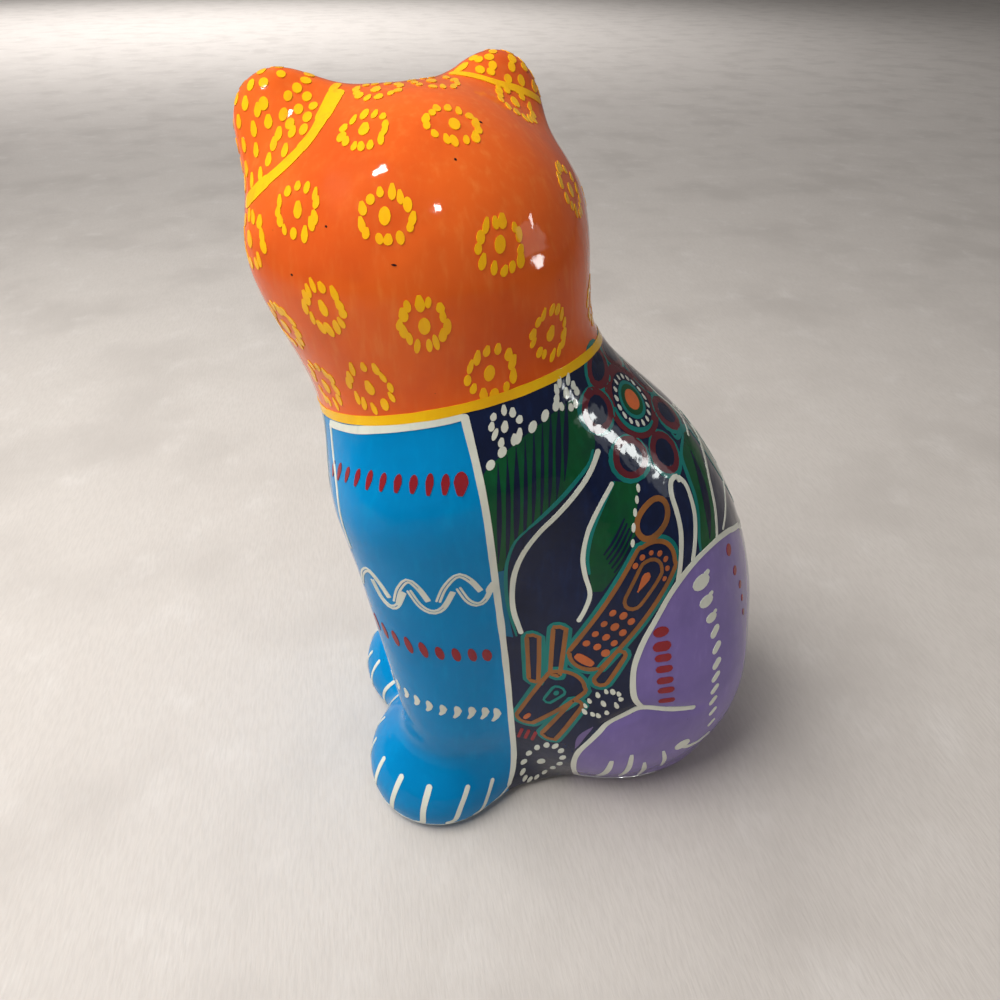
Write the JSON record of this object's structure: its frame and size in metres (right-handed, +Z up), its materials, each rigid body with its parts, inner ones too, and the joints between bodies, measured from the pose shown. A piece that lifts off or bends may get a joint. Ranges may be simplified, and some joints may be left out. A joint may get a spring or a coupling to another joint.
{
  "type": "pottery cat figurine",
  "caption": "Seated pottery cat ornament with its head turned to one side, glossy hand-painted folk motifs and a flat underside.",
  "frame": {"origin": "middle of the bounding box, on the plane of the flat underside", "axes": "+Z up, the body faces -Y, and the cat's own left side is +X"},
  "size_m": [0.0878, 0.125, 0.1824],
  "materials": {
    "painted_pottery": "glossy lacquered pottery, painted in broad areas of orange, bright blue, navy and purple",
    "orange_glaze": "glossy orange glaze of the head",
    "blue_glaze": "glossy bright blue glaze of the chest and forelegs",
    "purple_glaze": "glossy purple glaze of the haunches",
    "yellow_brushwork": "raised yellow strokes under lacquer",
    "white_brushwork": "raised cream-white strokes under lacquer",
    "red_brushwork": "dark red strokes under lacquer",
    "green_brushwork": "deep green leaf areas under lacquer",
    "teal_brushwork": "turquoise outlines under lacquer",
    "brown_brushwork": "orange-brown outlines under lacquer",
    "dark_brushwork": "near-black and maroon detail strokes under lacquer"
  },
  "bodies": {
    "root": {"cat_figurine": "painted_pottery"}
  },
  "joints": []
}
